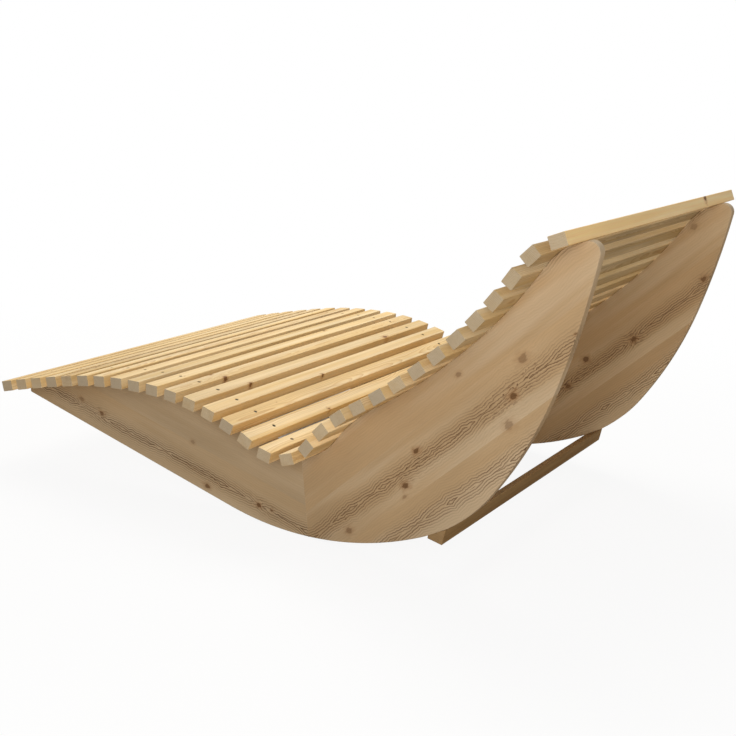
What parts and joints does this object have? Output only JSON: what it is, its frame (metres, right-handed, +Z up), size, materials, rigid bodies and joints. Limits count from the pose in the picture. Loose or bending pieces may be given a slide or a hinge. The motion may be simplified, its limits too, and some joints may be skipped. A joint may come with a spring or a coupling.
{
  "type": "rocking lounger",
  "caption": "Wooden rocking lounger: a wavy seat of battens across two curved side panels, with a crossbar low at the back that stops the rocking.",
  "frame": {"origin": "on the floor, in the middle of the length and of the width", "axes": "+X to the head end, +Z up, +Y to the right of a person who lies on the seat"},
  "size_m": [1.7352, 1.2, 0.8757],
  "materials": {
    "slat_wood": "planed softwood, unfinished",
    "board_wood": "planed softwood, unfinished",
    "bar_wood": "planed softwood, unfinished",
    "tongue_wood": "planed softwood, glued in",
    "screw_steel": "bright zinc"
  },
  "bodies": {
    "root": {"slat_01": "slat_wood", "slat_02": "slat_wood", "slat_03": "slat_wood", "slat_04": "slat_wood", "slat_05": "slat_wood", "slat_06": "slat_wood", "slat_07": "slat_wood", "slat_08": "slat_wood", "slat_09": "slat_wood", "slat_10": "slat_wood", "slat_11": "slat_wood", "slat_12": "slat_wood", "slat_13": "slat_wood", "slat_14": "slat_wood", "slat_15": "slat_wood", "slat_16": "slat_wood", "slat_17": "slat_wood", "slat_18": "slat_wood", "slat_19": "slat_wood", "slat_20": "slat_wood", "slat_21": "slat_wood", "slat_22": "slat_wood", "slat_23": "slat_wood", "slat_24": "slat_wood", "slat_25": "slat_wood", "slat_26": "slat_wood", "slat_27": "slat_wood", "slat_28": "slat_wood", "slat_29": "slat_wood", "slat_30": "slat_wood", "slat_31": "slat_wood", "left_leg_board": "board_wood", "right_leg_board": "board_wood", "left_back_board": "board_wood", "right_back_board": "board_wood", "left_seam_tongue": "tongue_wood", "right_seam_tongue": "tongue_wood", "crossbar": "bar_wood", "slat_screws": "screw_steel", "crossbar_screws": "screw_steel"}
  },
  "joints": []
}
